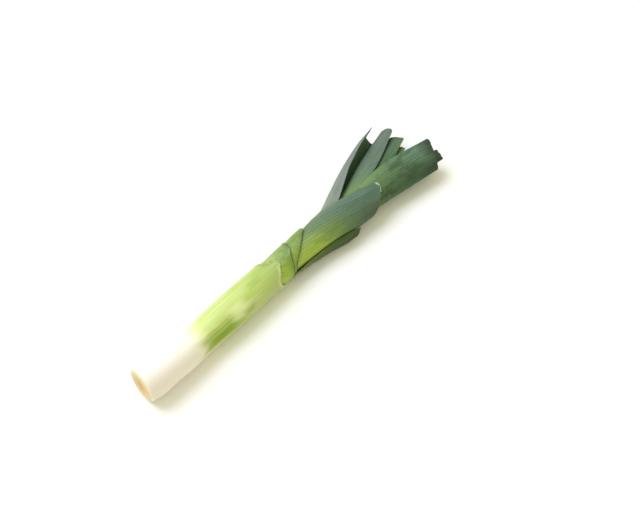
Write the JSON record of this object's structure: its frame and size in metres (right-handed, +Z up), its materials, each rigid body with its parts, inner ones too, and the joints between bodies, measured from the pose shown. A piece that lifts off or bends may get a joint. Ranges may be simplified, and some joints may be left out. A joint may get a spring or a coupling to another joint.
{
  "type": "leek",
  "caption": "Trimmed leek lying on its side: a white shank with a cut root end runs through cut-back sheaths into a fan of folded green leaves.",
  "frame": {"origin": "centre of the foot of the bounding box, on the surface that the leek lies on", "axes": "+X from the root cut to the leaf ends along the shank, +Y to the left as seen from above with the leaves ahead, +Z up"},
  "size_m": [0.3816, 0.0796, 0.0369],
  "materials": {
    "shank": "smooth damp white plant skin, turning pale green",
    "sheath": "satin yellow-green leaf skin with fine lengthwise veins",
    "leaf": "matt blue-green leaf with a waxy bloom and fine lengthwise veins",
    "inner_leaf": "matt green leaf with fine lengthwise veins"
  },
  "bodies": {
    "root": {"shank": "shank", "sheath_2": "sheath", "sheath_3": "sheath", "leaf_4": "leaf", "leaf_5": "leaf", "leaf_6": "leaf", "leaf_7": "leaf", "leaf_8": "leaf", "leaf_9": "inner_leaf", "leaf_10": "inner_leaf", "leaf_11": "inner_leaf"}
  },
  "joints": []
}
